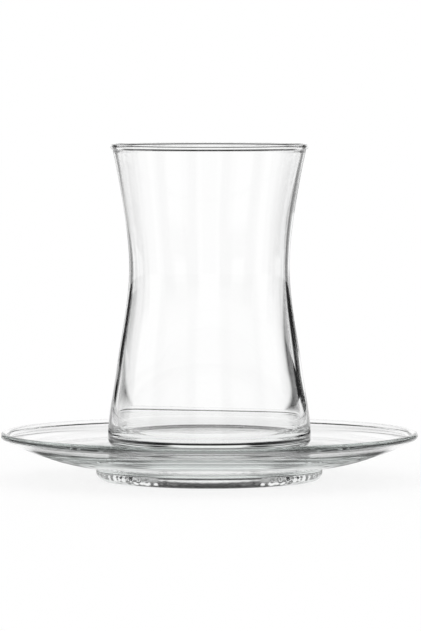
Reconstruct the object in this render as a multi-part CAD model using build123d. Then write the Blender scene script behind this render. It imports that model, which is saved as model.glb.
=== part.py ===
from build123d import *
import os

# A waisted tumbler for tea, standing on its saucer. Both are pressed clear glass, and both are
# turned shapes about the Z axis. Z = 0 is the face that the saucer's foot ring stands on.

# ---- driving dimensions, mm -----------------------------------------------------------------
# saucer
SAUCER_D = 110.0          # over the rim bead
SAUCER_RIM_Z = 11.82      # height of the middle of the rim bead
SAUCER_BEAD_D = 1.8       # thickness of the rim bead
SAUCER_NECK = 1.7         # thickness of the plate just inside the bead
WELL_Z = 8.4              # top face of the flat well
WELL_D = 84.0             # flat well, before the plate curves up
BELLY_D = 90.0            # where the curve of the underside is measured
BELLY_Z = 6.9             # height of the underside there
FOOT_D = 59.6             # foot ring, outside
FOOT_ROOT_Z = 3.6         # where the plate's underside meets the foot ring
FOOT_BAND_Z = 2.2         # foot of the ring's upright band
FOOT_STAND_D = 55.4       # outer edge of the face it stands on
FOOT_STAND_W = 2.0        # width of that face
RECESS_Z = 3.2            # underside inside the foot ring

# tumbler, heights measured from its own base
TUMBLER_H = 80.2
LIP_D = 1.5               # thickness of the rounded lip
MOUTH_D = 52.0            # over the lip
UPPER_D = 47.0            # outside, between waist and mouth
UPPER_Z = 69.0
WAIST_D = 42.2            # outside, at the narrowest
WAIST_Z = 48.8
LOWER_D = 48.9            # outside, between waist and heel
LOWER_Z = 20.6
HEEL_D = 53.5             # outside, at the widest, just over the heel
HEEL_R = 2.9              # rounding between side and base
WALL_LIP = 0.8            # wall thicknesses at the same heights, lip down to heel
WALL_UPPER = 0.8
WALL_WAIST = 0.92
WALL_LOWER = 1.65
WALL_HEEL = 2.4
FLOOR_T = 2.9             # thickness of the base at the inside corner
FLOOR_R = 3.2             # rounding between floor and wall, inside
PUNT_D = 42.0             # hollow pressed into the underside of the base
PUNT_H = 0.7
MOUTH_SLOPE = (0.26, 1.0)  # direction of the wall where it meets the lip


def turned(*edges):
    """Solid of revolution about Z from the closed outline of its half section, drawn in XZ."""
    return revolve(make_face(Wire(edges)), axis=Axis.Z)


def path(points):
    """Straight runs through (radius, height) points."""
    corners = [point(r, z) for r, z in points]
    return [Line(a, b) for a, b in zip(corners, corners[1:])]


def point(r, z):
    return Vector(r, 0, z)


def bead(d, r_outside, z):
    """A full ring of round section, to finish an edge."""
    section = Pos(r_outside - d / 2, 0, z) * (Plane.XZ * Circle(d / 2))
    return revolve(section, axis=Axis.Z)


def make_saucer():
    bead_r = SAUCER_D / 2 - SAUCER_BEAD_D / 2
    rim_top = point(bead_r, SAUCER_RIM_Z + SAUCER_NECK / 2)
    rim_under = point(bead_r, SAUCER_RIM_Z - SAUCER_NECK / 2)
    well_edge = point(WELL_D / 2, WELL_Z)
    root = point(FOOT_D / 2, FOOT_ROOT_Z)
    band = point(FOOT_D / 2, FOOT_BAND_Z)
    stand_out = point(FOOT_STAND_D / 2, 0)
    stand_in_r = FOOT_STAND_D / 2 - FOOT_STAND_W
    recess_r = stand_in_r - RECESS_Z / 2
    plate = turned(
        Line(point(0, RECESS_Z), point(0, WELL_Z)),
        Line(point(0, WELL_Z), well_edge),
        TangentArc(well_edge, rim_top, tangent=(1, 0, 0)),
        Line(rim_top, rim_under),
        ThreePointArc(rim_under, point(BELLY_D / 2, BELLY_Z), root),
        Line(root, band),
        TangentArc(band, stand_out, tangent=(0, 0, -1)),
        *path([(FOOT_STAND_D / 2, 0), (stand_in_r, 0), (recess_r, RECESS_Z), (0, RECESS_Z)]),
    )
    return plate + bead(SAUCER_BEAD_D, SAUCER_D / 2, SAUCER_RIM_Z)


def make_tumbler():
    lip_z = TUMBLER_H - LIP_D / 2
    lip_r = MOUTH_D / 2 - LIP_D / 2
    heel_z = HEEL_R
    floor_z = FLOOR_T + FLOOR_R
    outside = [
        point(HEEL_D / 2, heel_z),
        point(LOWER_D / 2, LOWER_Z),
        point(WAIST_D / 2, WAIST_Z),
        point(UPPER_D / 2, UPPER_Z),
        point(lip_r + WALL_LIP / 2, lip_z),
    ]
    inside = [
        point(lip_r - WALL_LIP / 2, lip_z),
        point(UPPER_D / 2 - WALL_UPPER, UPPER_Z),
        point(WAIST_D / 2 - WALL_WAIST, WAIST_Z),
        point(LOWER_D / 2 - WALL_LOWER, LOWER_Z),
        point(HEEL_D / 2 - WALL_HEEL, floor_z),
    ]
    flare = Vector(MOUTH_SLOPE[0], 0, MOUTH_SLOPE[1])
    stand = point(HEEL_D / 2 - HEEL_R, 0)
    punt_edge = point(PUNT_D / 2, 0)
    punt_top = point(PUNT_D / 2 - PUNT_H, PUNT_H)
    floor_edge = point(inside[-1].X - FLOOR_R, FLOOR_T)
    wall = turned(
        Spline(outside, tangents=[(0, 0, 1), flare]),
        Line(outside[-1], inside[0]),
        Spline(inside, tangents=[-flare, (0, 0, -1)]),
        TangentArc(inside[-1], floor_edge, tangent=(0, 0, -1)),
        Line(floor_edge, point(0, FLOOR_T)),
        Line(point(0, FLOOR_T), point(0, PUNT_H)),
        Line(point(0, PUNT_H), punt_top),
        Line(punt_top, punt_edge),
        Line(punt_edge, stand),
        TangentArc(stand, outside[0], tangent=(1, 0, 0)),
    )
    tumbler = wall + bead(LIP_D, MOUTH_D / 2, lip_z)
    return Pos(0, 0, WELL_Z) * tumbler


os.makedirs("parts", exist_ok=True)
for name, solid in {"saucer": make_saucer(), "tea_glass": make_tumbler()}.items():
    export_step(solid, f"parts/{name}.step")
    print(name, round(solid.volume / 1000, 2), "cm3")
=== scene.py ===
# %% [markdown]
# # A waisted tea glass on its saucer
#
# Two pieces of clear pressed glass, both turned shapes: a tumbler with a narrow waist, and the shallow
# saucer it stands on. Glass has no colour of its own to paint. What the eye reads is how its two skins,
# outer and inner, bend the room, so this lesson spends its effort on true wall thicknesses, round lips and
# small unevenness, and then on a studio that draws the edges dark on white.
#
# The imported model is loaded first. Every later size and place comes from its boxes.

# %% Load the model and measure it
import math
import bpy
import bmesh
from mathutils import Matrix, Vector


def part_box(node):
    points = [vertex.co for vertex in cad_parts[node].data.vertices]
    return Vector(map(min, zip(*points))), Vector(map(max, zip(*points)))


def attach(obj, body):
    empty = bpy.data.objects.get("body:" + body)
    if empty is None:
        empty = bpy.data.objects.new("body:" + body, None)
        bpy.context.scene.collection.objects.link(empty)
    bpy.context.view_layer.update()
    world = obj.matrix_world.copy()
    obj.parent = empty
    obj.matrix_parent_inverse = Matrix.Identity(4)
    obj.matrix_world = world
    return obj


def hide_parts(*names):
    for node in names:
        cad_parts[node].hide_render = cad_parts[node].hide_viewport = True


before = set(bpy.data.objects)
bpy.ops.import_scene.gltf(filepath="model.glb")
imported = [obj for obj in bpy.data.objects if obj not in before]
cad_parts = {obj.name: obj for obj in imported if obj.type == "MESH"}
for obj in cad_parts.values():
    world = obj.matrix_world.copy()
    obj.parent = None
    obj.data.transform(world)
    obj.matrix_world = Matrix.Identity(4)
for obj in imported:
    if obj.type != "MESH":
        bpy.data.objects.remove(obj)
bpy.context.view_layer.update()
MM = 0.001
saucer_low, saucer_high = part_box("saucer")
glass_low, glass_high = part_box("tea_glass")
SAUCER_R = (saucer_high[0] - saucer_low[0]) / 2 / MM
SAUCER_TOP = saucer_high[2] / MM
HEEL_R = (glass_high[0] - glass_low[0]) / 2 / MM
GLASS_BASE = glass_low[2] / MM
GLASS_H = (glass_high[2] - glass_low[2]) / MM
print(f"saucer {2 * SAUCER_R:.1f} mm across, tumbler {GLASS_H:.1f} mm high on a well {GLASS_BASE:.1f} mm up")

# %% [markdown]
# ## Drawing a half section
#
# A glassmaker draws a turned piece as half a section: a line from the axis, out round the shape and back to
# the axis. Four strokes are enough here: a straight run, an arc that leaves in a given direction, an arc
# through three points, and a smooth curve through a few points. Each stroke returns plain (radius, height)
# points in millimetres, so the whole outline is a list that strokes are added to. A Bezier curve object
# could be drawn instead, but arcs with named radii stay true when a size changes.

# %% Strokes for the half section
STROKE_STEPS = 18


def run(a, b, steps=6):
    return [(a[0] + (b[0] - a[0]) * i / steps, a[1] + (b[1] - a[1]) * i / steps) for i in range(steps + 1)]


def swing(centre, radius, start, turn, steps=STROKE_STEPS):
    """Arc about a centre, from a start angle through a turn, in radians."""
    angles = [start + turn * i / steps for i in range(steps + 1)]
    return [(centre[0] + radius * math.cos(t), centre[1] + radius * math.sin(t)) for t in angles]


def arc_leaving(a, b, heading, steps=STROKE_STEPS):
    """Arc from a to b that leaves a in the given direction."""
    length = math.hypot(*heading)
    side = (-heading[1] / length, heading[0] / length)
    chord = (b[0] - a[0], b[1] - a[1])
    radius = (chord[0] ** 2 + chord[1] ** 2) / (2 * (chord[0] * side[0] + chord[1] * side[1]))
    centre = (a[0] + side[0] * radius, a[1] + side[1] * radius)
    start = math.atan2(a[1] - centre[1], a[0] - centre[0])
    turn = math.atan2(b[1] - centre[1], b[0] - centre[0]) - start
    turn = turn % math.tau if radius > 0 else turn % math.tau - math.tau
    return swing(centre, abs(radius), start, turn, steps)


def arc_through(a, middle, b, steps=STROKE_STEPS):
    """Arc from a to b by way of a third point: it leaves a at the angle that the middle point asks for."""
    to_b = math.atan2(b[1] - a[1], b[0] - a[0])
    to_middle = math.atan2(middle[1] - a[1], middle[0] - a[0])
    back = math.atan2(b[1] - middle[1], b[0] - middle[0])
    heading = to_middle - (back - to_b)
    return arc_leaving(a, b, (math.cos(heading), math.sin(heading)), steps)


def smooth(points, leave, arrive, steps=STROKE_STEPS):
    """Curve through the points, with given directions at both ends and even bending between."""
    gaps = [math.dist(p, q) for p, q in zip(points, points[1:])]
    slopes = [None] * len(points)
    slopes[0] = Vector(leave).normalized()
    slopes[-1] = Vector(arrive).normalized()
    for i in range(1, len(points) - 1):
        before = (Vector(points[i]) - Vector(points[i - 1])) / gaps[i - 1]
        after = (Vector(points[i + 1]) - Vector(points[i])) / gaps[i]
        slopes[i] = (before * gaps[i] + after * gaps[i - 1]) / (gaps[i] + gaps[i - 1])
    drawn = []
    for i, gap in enumerate(gaps):
        p, q = Vector(points[i]), Vector(points[i + 1])
        for k in range(steps):
            s = k / steps
            place = p * (2 * s ** 3 - 3 * s ** 2 + 1) + q * (3 * s ** 2 - 2 * s ** 3)
            place += slopes[i] * gap * (s ** 3 - 2 * s ** 2 + s) + slopes[i + 1] * gap * (s ** 3 - s ** 2)
            drawn.append((place.x, place.y))
    return drawn + [tuple(points[-1])]


def bead_between(centre, radius, before, after):
    """Join two strokes round a bead: drops what lies inside it and goes the long way round its outside."""
    def clear(stroke):
        return [p for p in stroke if math.dist(p, centre) > radius]

    before, after = clear(before), clear(after)
    start = math.atan2(before[-1][1] - centre[1], before[-1][0] - centre[0])
    end = math.atan2(after[0][1] - centre[1], after[0][0] - centre[0])
    way = 1 if before[-1][0] > after[0][0] else -1
    turn = (end - start) % math.tau if way > 0 else -((start - end) % math.tau)
    return before + swing(centre, radius, start, turn) + after


print("strokes ready: run, swing, arc_leaving, arc_through, smooth, bead_between")

# %% [markdown]
# ## Turning the section
#
# Spinning the half section about the upright axis gives the piece. The Screw modifier does the same, but a
# hand-written loop lets every point be nudged as it is turned, which is how the thick and thin sides of a
# pressed wall are made further on. The facets are fine enough that bent light shows no steps.

# %% The lathe
TURN_STEPS = 288
SAME_POINT = 1e-4


def turn_section(name, section, nudge=None):
    """Spin a half section into a closed mesh object. nudge(radius, height, angle) may return a new place."""
    outline = [section[0]]
    for p in section[1:]:
        if math.dist(p, outline[-1]) > SAME_POINT:
            outline.append(p)
    mesh = bmesh.new()
    rings = []
    for radius, height in outline:
        if radius < SAME_POINT:
            rings.append([mesh.verts.new((0, 0, height * MM))])
            continue
        ring = []
        for k in range(TURN_STEPS):
            angle = math.tau * k / TURN_STEPS
            x, y, z = radius * math.cos(angle), radius * math.sin(angle), height
            if nudge:
                x, y, z = nudge(radius, height, angle)
            ring.append(mesh.verts.new((x * MM, y * MM, z * MM)))
        rings.append(ring)
    for low, high in zip(rings, rings[1:]):
        for k in range(TURN_STEPS):
            n = (k + 1) % TURN_STEPS
            corners = [low[k % len(low)], low[n % len(low)], high[n % len(high)], high[k % len(high)]]
            mesh.faces.new(dict.fromkeys(corners))
    bmesh.ops.recalc_face_normals(mesh, faces=mesh.faces)
    for face in mesh.faces:
        face.smooth = True
    data = bpy.data.meshes.new(name)
    mesh.to_mesh(data)
    mesh.free()
    piece = bpy.data.objects.new(name, data)
    bpy.context.collection.objects.link(piece)
    print(f"{name}: {len(outline)} points in the section, {len(data.polygons)} faces")
    return piece


# %% [markdown]
# ## The saucer
#
# A saucer is pressed in one blow: a flat well, a plate that curves up to a round bead at the rim, and a foot
# ring underneath so that the hot well stays off the table. The bead is thicker than the plate beside it,
# which is why its edge draws as a dark line all round. Near the rim the plate keeps one thickness, so light
# goes straight through it there. Further in it thickens like a wedge and throws the light sideways, which
# gives the saucer its streaky grey underside.

# %% Saucer section
BEAD_R = 0.9              # rim bead
BEAD_Z = SAUCER_TOP - BEAD_R
NECK = 1.7                # plate just inside the bead
WELL_R = 42.0
BELLY = (45.0, 6.9)       # a point on the curve of the underside
PLATE_W = 25.2            # plate outside the foot ring
FOOT_R = SAUCER_R - PLATE_W
FOOT_ROOT_Z = 3.6
FOOT_BAND_Z = 2.2
STAND_R = 27.7            # outer edge of the standing face
STAND_W = 2.0
RECESS_Z = 3.2
PLATE_STEPS = 40
bead_centre = (SAUCER_R - BEAD_R, BEAD_Z)
plate_top = arc_leaving((WELL_R, GLASS_BASE), (bead_centre[0], BEAD_Z + NECK / 2), (1, 0), PLATE_STEPS)
plate_under = arc_through((bead_centre[0], BEAD_Z - NECK / 2), BELLY, (FOOT_R, FOOT_ROOT_Z),
                          PLATE_STEPS)
stand_in = STAND_R - STAND_W
recess_r = stand_in - RECESS_Z / 2
saucer_section = run((0, GLASS_BASE), (WELL_R, GLASS_BASE))
saucer_section += bead_between(bead_centre, BEAD_R, plate_top, plate_under)
saucer_section += arc_leaving((FOOT_R, FOOT_BAND_Z), (STAND_R, 0), (0, -1))
saucer_section += run((STAND_R, 0), (stand_in, 0), steps=10)
saucer_section += run((stand_in, 0), (recess_r, RECESS_Z), steps=8)
saucer_section += run((recess_r, RECESS_Z), (0, RECESS_Z))

# %% [markdown]
# Two small marks of the press are left in the metal. The inner slope of the foot ring is scalloped, so that
# the ring glitters at the two ends where it is seen along its length. And the die's turning marks leave
# very low rings on the underside of the plate, which break the light up into fine streaks.

# %% Saucer with the marks of the press
SCALLOPS = 60
SCALLOP_DEPTH = 0.09
MARK_HEIGHT = 0.010
MARK_STEP = 2.6           # from one turning mark to the next
MARK_WANDER = 0.9
underside = set(plate_under)


def pressed(radius, height, angle):
    """Scallops in the foot ring's inner slope and turning marks under the plate."""
    if recess_r <= radius <= stand_in and height <= RECESS_Z:
        middle = math.sin(math.pi * height / RECESS_Z)
        radius -= SCALLOP_DEPTH * middle * (0.5 - 0.5 * math.cos(SCALLOPS * angle))
    if (radius, height) in underside:
        fade = min(1.0, (bead_centre[0] - radius) / MARK_STEP, (radius - FOOT_R) / MARK_STEP)
        turn = math.tau * radius / MARK_STEP + MARK_WANDER * math.sin(3 * angle)
        height += MARK_HEIGHT * max(0.0, fade) * (1 + math.sin(turn))
    return radius * math.cos(angle), radius * math.sin(angle), height


saucer = turn_section("saucer_glass_body", saucer_section, pressed)

# %% [markdown]
# ## The tumbler
#
# The outside is a mould's smooth shape: a round heel, a waist that the fingers hold, and a flare to the
# mouth. The inside is shaped by a plunger, so the wall is not the same all over: it thickens from under a
# millimetre at the lip to over two at the heel, one side is thicker than the other, and the floor meets
# the wall in a generous curve. A modifier that thickens a shell evenly would lose all of that, so inside and
# outside are drawn as two curves and joined round the lip.

# %% Tumbler section
HEEL_ROUND = 2.9
LIP_R = 0.75
LIP_MIDDLE = (25.25, GLASS_H - LIP_R)
LIP_WALL = 0.8
LOWER = (24.45, 20.6)     # outside radius and height of three stations up the side
WAIST = (21.1, 48.8)
UPPER = (23.5, 69.0)
WALL_LOWER = 1.65
WALL_WAIST = 0.92
WALL_UPPER = 0.8
WALL_HEEL = 2.4
FLOOR_T = 2.9
FLOOR_ROUND = 3.2
PUNT_R = 21.0
PUNT_H = 0.7
FLARE = (0.26, 1.0)
AIR = 0.04                # film of air left between the base and the well, so that both skins reflect

outside = smooth([(HEEL_R, HEEL_ROUND), LOWER, WAIST, UPPER, (LIP_MIDDLE[0] + LIP_WALL / 2, LIP_MIDDLE[1])],
                 (0, 1), FLARE)
inside = smooth([(LIP_MIDDLE[0] - LIP_WALL / 2, LIP_MIDDLE[1]), (UPPER[0] - WALL_UPPER, UPPER[1]),
                 (WAIST[0] - WALL_WAIST, WAIST[1]), (LOWER[0] - WALL_LOWER, LOWER[1]),
                 (HEEL_R - WALL_HEEL, FLOOR_T + FLOOR_ROUND)],
                (-FLARE[0], -FLARE[1]), (0, -1))
floor_edge = (HEEL_R - WALL_HEEL - FLOOR_ROUND, FLOOR_T)
under = run((0, PUNT_H), (PUNT_R - PUNT_H, PUNT_H)) + run((PUNT_R - PUNT_H, PUNT_H), (PUNT_R, AIR), steps=4)
heel = arc_leaving((HEEL_R - HEEL_ROUND, AIR), (HEEL_R, HEEL_ROUND), (1, 0))
floor = arc_leaving(inside[-1], floor_edge, (0, -1)) + run(floor_edge, (0, FLOOR_T))
glass_section = under + heel + bead_between(LIP_MIDDLE, LIP_R, outside, inside) + floor
glass_section = [(r, h + GLASS_BASE) for r, h in glass_section]

# %% [markdown]
# The plunger that shapes the inside is never quite on the mould's axis. The inner skin is moved about a
# quarter of a millimetre sideways, and the shift wanders on the way up: most at 26 mm, least at the heel and
# the waist. That gives a thin wall on one side and a thick one on the other.

# %% Tumbler with its uneven wall
OFF_AXIS = 0.24
DRIFT = 0.14              # how much more or less than that
DRIFT_STEP = 38.0         # height over which it comes and goes
DRIFT_PEAK = 26.0         # height above the base where the shift is greatest
LIP_FADE = 20.0           # the shift dies out over this height under the lip
inner_skin = set(glass_section[len(under + heel) + len(outside):])
lip_height = GLASS_BASE + LIP_MIDDLE[1]


def uneven_wall(radius, height, angle):
    """Shift the inner skin off axis, fading out at the lip so that the rim stays round."""
    x, y = radius * math.cos(angle), radius * math.sin(angle)
    if (radius, height) in inner_skin:
        rise = height - GLASS_BASE - DRIFT_PEAK
        shift = OFF_AXIS + DRIFT * math.cos(math.tau * rise / DRIFT_STEP)
        x -= shift * min(1.0, max(0.0, (lip_height - height) / LIP_FADE))
    return x, y, height


tumbler = turn_section("tumbler_glass_body", glass_section, uneven_wall)

# %% [markdown]
# ## Shader maths in Python
#
# Node trees are easier to read as formulas. The little class below wraps one socket, and adding or
# multiplying two of them adds a Math node. Any other node comes from `Bench.node`, which takes the node's
# type, its settings, and what goes into its sockets.

# %% Sockets that do sums
class Reading:
    """A number coming out of a node, which can be used in a Python sum."""

    def __init__(self, bench, socket):
        self.bench = bench
        self.socket = socket

    def sum(self, operation, *others):
        return self.bench.maths(operation, self, *others)

    def __add__(self, other): return self.sum("ADD", other)
    def __radd__(self, other): return self.sum("ADD", other)
    def __sub__(self, other): return self.sum("SUBTRACT", other)
    def __rsub__(self, other): return self.bench.maths("SUBTRACT", other, self)
    def __mul__(self, other): return self.sum("MULTIPLY", other)
    def __truediv__(self, other): return self.sum("DIVIDE", other)
    def __abs__(self): return self.sum("ABSOLUTE")

    def or_more(self, other): return self.sum("MAXIMUM", other)
    def root(self): return self.sum("SQRT")

    def fade(self, start, end, first=1.0, last=0.0):
        """A soft step: first up to start, last past end."""
        sockets = {"Value": self, "From Min": start, "From Max": end, "To Min": first, "To Max": last}
        return self.bench.node("ShaderNodeMapRange", {"interpolation_type": "SMOOTHSTEP"}, sockets, "Result")


class Bench:
    """An empty node tree and the one method that adds nodes to it."""

    def __init__(self, owner):
        owner.use_nodes = True
        self.tree = owner.node_tree
        self.tree.nodes.clear()

    def node(self, kind, settings=None, sockets=None, output=0):
        made = self.tree.nodes.new(kind)
        for key, value in (settings or {}).items():
            setattr(made, key, value)
        sockets = sockets or {}
        pairs = sockets.items() if isinstance(sockets, dict) else enumerate(sockets)
        for key, value in pairs:
            if isinstance(value, Reading):
                self.tree.links.new(value.socket, made.inputs[key])
            else:
                made.inputs[key].default_value = value
        return Reading(self, made.outputs[output]) if len(made.outputs) else made

    def maths(self, operation, *values):
        return self.node("ShaderNodeMath", {"operation": operation}, values)

    def others(self, reading, *names):
        """More outputs of the node that a reading came from."""
        return [Reading(self, reading.socket.node.outputs[name]) for name in names]


print("bench ready")

# %% [markdown]
# ## Clear glass
#
# Soda-lime glass bends light by about 1.52 and soaks up a little red, so deep stretches look grey-green. The
# depth comes from real absorption along the path inside the piece, not from a painted edge. Pressed glass
# keeps a faint orange-peel from the mould and the fire polish: a very low, broad ripple in the normal. The
# base of the tumbler is rougher: in its middle the mould leaves a patch of uneven dimples. A thin-walled
# trick of transparency would be faster, but only true refraction draws the dark edge lines.

# %% Glass finishes
GLASS_IOR = 1.52
WHITE = (1.0, 1.0, 1.0, 1.0)
DEEP_TINT = (0.78, 0.90, 0.85, 1.0)
HEAD_ON_GLINT = (0.35, 0.35, 0.35, 1.0)   # quiets reflections seen square on, leaves the grazing ones
RIPPLE_SIZE = 90.0        # ripples per metre
RIPPLE_DEPTH = 0.0004
DIMPLE_SIZE = 420.0       # dimples per metre
DIMPLE_PATCH = (0.009, 0.014)     # distance from the axis over which they die out
DIMPLE_TOP = (1.4, 2.2)           # and the height above the base, in millimetres
SMUDGE_SIZE = 60.0
SMUDGES = (0.55, 0.75)
SMUDGE_ROUGHNESS = 0.02


def clear_glass(name, density, ripple, dimples=0.0):
    """Clear pressed glass: refraction, a mould ripple, very faint smudges and depth of colour."""
    material = bpy.data.materials.new(name)
    bench = Bench(material)
    place = bench.node("ShaderNodeTexCoord", output="Object")

    def noise(size, detail):
        return bench.node("ShaderNodeTexNoise", {}, {"Vector": place, "Scale": size, "Detail": detail}, "Fac")

    swell = noise(RIPPLE_SIZE, 1.0)
    if dimples:
        x = bench.node("ShaderNodeSeparateXYZ", {}, [place])
        y, z = bench.others(x, "Y", "Z")
        middle = (x * x + y * y).root().fade(*DIMPLE_PATCH)
        base = z.fade((GLASS_BASE + DIMPLE_TOP[0]) * MM, (GLASS_BASE + DIMPLE_TOP[1]) * MM)
        swell = swell + noise(DIMPLE_SIZE, 2.0) * middle * base * dimples
    relief = {"Height": swell, "Strength": ripple, "Distance": RIPPLE_DEPTH}
    normal = bench.node("ShaderNodeBump", {}, relief, "Normal")
    roughness = noise(SMUDGE_SIZE, 3.0).fade(*SMUDGES, 0.0, SMUDGE_ROUGHNESS)
    glass = bench.node("ShaderNodeBsdfPrincipled", {}, {
        "Base Color": WHITE, "Roughness": roughness, "IOR": GLASS_IOR, "Transmission Weight": 1.0,
        "Specular Tint": HEAD_ON_GLINT, "Normal": normal})
    depth = bench.node("ShaderNodeVolumeAbsorption", {}, {"Color": DEEP_TINT, "Density": density})
    bench.node("ShaderNodeOutputMaterial", {}, {"Surface": glass, "Volume": depth})
    print(f"finish {name}: absorption {density} per metre")
    return material


tumbler.data.materials.append(clear_glass("tumbler clear glass", 4.0, 0.02, dimples=30.0))
saucer.data.materials.append(clear_glass("saucer clear glass", 5.0, 0.03))

# %% [markdown]
# Each piece is parented to the body it rides on, and the model's part that it takes the place of is hidden.
# The tumbler stands loose in the well, so nothing joins them and both ride on the one body.

# %% Tie both pieces to the model
for piece, node, slot in ((tumbler, "tea_glass", "tumbler_glass"), (saucer, "saucer", "saucer_glass")):
    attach(piece, "root")
    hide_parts(node)

# %% [markdown]
# ## The studio
#
# Clear glass is lit by what stands round it. A glass is best shown in a bright field: a white wall behind,
# with dark cards beside it. Straight through the glass you see white, and at the edges, where light bends
# hard, you see the cards, so each edge draws itself as a dark line. Here the world holds four white walls,
# one behind each of the four plain views, with dark cards between them.
#
# Light that was mirrored on its way finds taller white walls than light that goes straight through. A real
# set cannot tell the two apart. Lamps above it come near, since they show in reflections and hardly through
# the glass. In the corners between the walls mirrored light also finds white above a low strip of dark, so
# that a view from a corner does not turn the bases black.

# %% World with white walls and dark cards
CARD_LIGHT = 0.02
DIAGONAL = 45
WALL = (14, 18)               # degrees off a wall's middle, from white to dark
WALL_TOP = (10, 20)           # degrees up, from white to dark
MIRRORED_WALL = (12, 20)
MIRRORED_TOP = (28, 45)
CORNER = (12, 20)             # degrees off a diagonal
CORNER_RISE = (8, 13)         # degrees up, from dark to white


def off_wall(x, y):
    """Degrees from the middle of the nearest wall, and the length of the direction in plan."""
    flat = (x * x + y * y).root().or_more(1e-6)
    return (abs(x).or_more(abs(y)) / flat).sum("ARCCOSINE") * math.degrees(1), flat


def pick(which, no, yes):
    """no where which is 0, yes where it is 1."""
    return no + which * (yes - no)


def bounces(bench):
    """Whether a ray has been mirrored on its way, and whether it did so without going into the glass."""
    mirrors = bench.node("ShaderNodeLightPath", output="Glossy Depth")
    (entries,) = bench.others(mirrors, "Transmission Depth")
    mirrored = mirrors.sum("GREATER_THAN", 0.5)
    return mirrored, mirrored * entries.sum("LESS_THAN", 0.5)


def seen_by_glass(bench):
    """1 for rays that come out of the glass or bounce off it, 0 for the camera and for plain lighting."""
    glossy = bench.node("ShaderNodeLightPath", output="Is Glossy Ray")
    through, lighting = bench.others(glossy, "Is Transmission Ray", "Diffuse Depth")
    return glossy.or_more(through) * lighting.sum("LESS_THAN", 0.5)


world = bpy.data.worlds.new("studio")
bpy.context.scene.world = world
bench = Bench(world)
towards = bench.node("ShaderNodeTexCoord", output="Generated")
x = bench.node("ShaderNodeSeparateXYZ", {}, [towards])
y, z = bench.others(x, "Y", "Z")
off, flat = off_wall(x, y)
rise = (z / flat).sum("ARCTANGENT") * math.degrees(1)
straight = off.fade(*WALL) * rise.fade(*WALL_TOP)
corner = (DIAGONAL - off).fade(*CORNER) * rise.fade(*CORNER_RISE, 0.0, 1.0)
bounced = off.fade(*MIRRORED_WALL).or_more(corner) * rise.fade(*MIRRORED_TOP)
mirrored, _ = bounces(bench)
light = pick(pick(mirrored, straight, bounced), CARD_LIGHT, 1.0)
room = bench.node("ShaderNodeBackground", {}, {"Color": WHITE, "Strength": light})
plain = bench.node("ShaderNodeBackground", {}, {"Color": WHITE, "Strength": 1.0})
surface = bench.node("ShaderNodeMixShader", {}, [seen_by_glass(bench), plain, room])
bench.node("ShaderNodeOutputWorld", {}, {"Surface": surface})

# %% [markdown]
# Glass sees painted light on the table too: a drawn pattern of white and dark in its own glow, which nothing
# lights.
# Near the glass the table is white. Further out a steep look finds white in the corners, and a low look finds
# it
# in front of the walls: a painted reflection of the walls in place of a real sheen on the table. Under the
# saucer
# the table has a painted shade: a little darker for light that went straight, and for mirrored light a darker
# ring between the foot and the rim. Where the camera looks at the table directly it works like a light table:
# most of its white is its own, and the rest is lit from round about and holds the faint shadow of the glass.

# %% Table
TABLE = 4.0
TABLE_LIT = (0.2, 0.2, 0.2, 1.0)
TABLE_GLOW = 0.8          # own light, so that the open table is exactly white
LOW_ANGLE = (0.78, 0.85)      # Facing, from a steep look to a low one
NEAR_WALLS = (0.12, 0.20)     # metres from the axis, here and below
NEAR_CORNERS = (0.14, 0.20)
FAR = (0.13, 0.17)
FOOT_EDGE = (0.030, 0.038)
RIM_EDGE = (0.047, 0.058)
INSIDE_CORNER = (32, 38)      # degrees off a wall's middle
OUTSIDE_STRIP = (7, 12)
# The three SHADE levels are a painted shadow of the saucer on the table, seen only through the glass.
SHADE_STRAIGHT = 0.9          # under the saucer, for light that went straight
SHADE_FOOT = 0.9              # and for mirrored light, under the foot and under the plate
SHADE_PLATE = 0.2
table_mesh = bpy.data.meshes.new("table")
table_mesh.from_pydata([(-TABLE, -TABLE, 0), (TABLE, -TABLE, 0), (TABLE, TABLE, 0), (-TABLE, TABLE, 0)],
                       [], [(0, 1, 2, 3)])
table = bpy.data.objects.new("table", table_mesh)
bpy.context.collection.objects.link(table)
white_table = bpy.data.materials.new("white table")
bench = Bench(white_table)
spot = bench.node("ShaderNodeNewGeometry", output="Position")
x = bench.node("ShaderNodeSeparateXYZ", {}, [spot])
(y,) = bench.others(x, "Y")
off, flat = off_wall(x, y)
# Layer Weight's Facing picks the low look. There the table shows a painted reflection of the walls, and a
# steep look shows the corners.
low_angle = bench.node("ShaderNodeLayerWeight", {}, {"Blend": 0.5}, "Facing").fade(*LOW_ANGLE, 0.0, 1.0)
painted_wall_reflection = off.fade(*WALL).or_more(flat.fade(*NEAR_WALLS))
corners = (DIAGONAL - off).fade(*CORNER).or_more(flat.fade(*NEAR_CORNERS))
straight = pick(low_angle, corners, painted_wall_reflection)
mirrored, outer = bounces(bench)
inside_bounce = off.fade(*WALL) + off.fade(*INSIDE_CORNER, 0.0, 1.0)
outside_bounce = off.fade(*OUTSIDE_STRIP, 0.0, 1.0)
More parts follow.
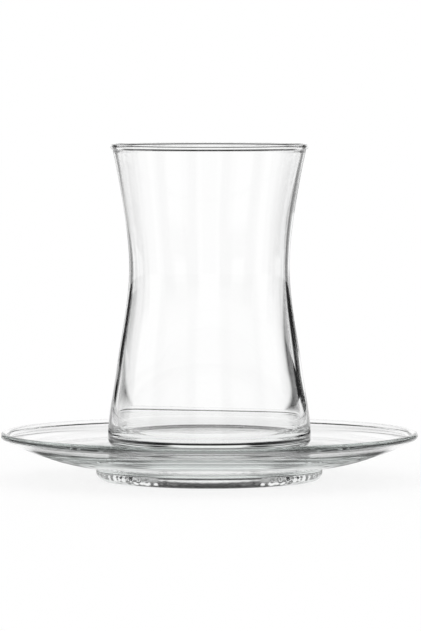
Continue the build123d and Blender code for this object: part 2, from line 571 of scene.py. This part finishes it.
far = flat.fade(*FAR, 0.0, 1.0)
# Painted light that the table shows only to rays out of the glass, in the glow below and not lit by anything.
painted_room_light = pick(far * mirrored, straight, pick(outer, inside_bounce, outside_bounce))
# Painted shade under the saucer: a darker ring between the foot and the rim for mirrored light, a little
# darker for straight light, none past the rim.
ring = flat.fade(*FOOT_EDGE, SHADE_FOOT, SHADE_PLATE) + flat.fade(*RIM_EDGE, 0.0, 1 - SHADE_PLATE)
painted_shade = pick(flat.fade(*RIM_EDGE, 0.0, 1.0), pick(mirrored, SHADE_STRAIGHT, ring), 1.0)
light = pick(painted_room_light * painted_shade, CARD_LIGHT, 1.0)
to_glass = bench.node("ShaderNodeEmission", {}, {"Color": WHITE, "Strength": light})
fill = bench.node("ShaderNodeEmission", {}, {"Color": WHITE, "Strength": TABLE_GLOW})
matt = bench.node("ShaderNodeBsdfDiffuse", {}, {"Color": TABLE_LIT})
to_camera = bench.node("ShaderNodeAddShader", {}, [matt, fill])
surface = bench.node("ShaderNodeMixShader", {}, [seen_by_glass(bench), to_camera, to_glass])
bench.node("ShaderNodeOutputMaterial", {}, {"Surface": surface})
table_mesh.materials.append(white_table)

# %% [markdown]
# ## The camera
#
# A long lens from a little above the rim: the saucer's ellipse opens by about four degrees and the mouth of
# the tumbler by about one.

# %% Camera
DISTANCE = 1.307
EYE_HEIGHT = 0.111
AIM_HEIGHT = 0.0434
SIDE_STEP = 0.0003
LENS = 283.4
SENSOR = 36.0
CLIP_END = 50.0
BOUNCES = 24              # enough for light to cross every skin of both pieces
MIRRORINGS = 12
camera_data = bpy.data.cameras.new("camera")
camera = bpy.data.objects.new("camera", camera_data)
bpy.context.collection.objects.link(camera)
camera.location = (SIDE_STEP, -DISTANCE, EYE_HEIGHT)
aim = Vector((SIDE_STEP, 0.0, AIM_HEIGHT)) - camera.location
camera.rotation_euler = aim.to_track_quat("-Z", "Y").to_euler()
camera_data.lens = LENS
camera_data.sensor_width = SENSOR
camera_data.clip_end = CLIP_END
scene = bpy.context.scene
scene.camera = camera
scene.view_settings.view_transform = "Standard"
scene.cycles.max_bounces = BOUNCES
scene.cycles.transmission_bounces = BOUNCES
scene.cycles.glossy_bounces = MIRRORINGS
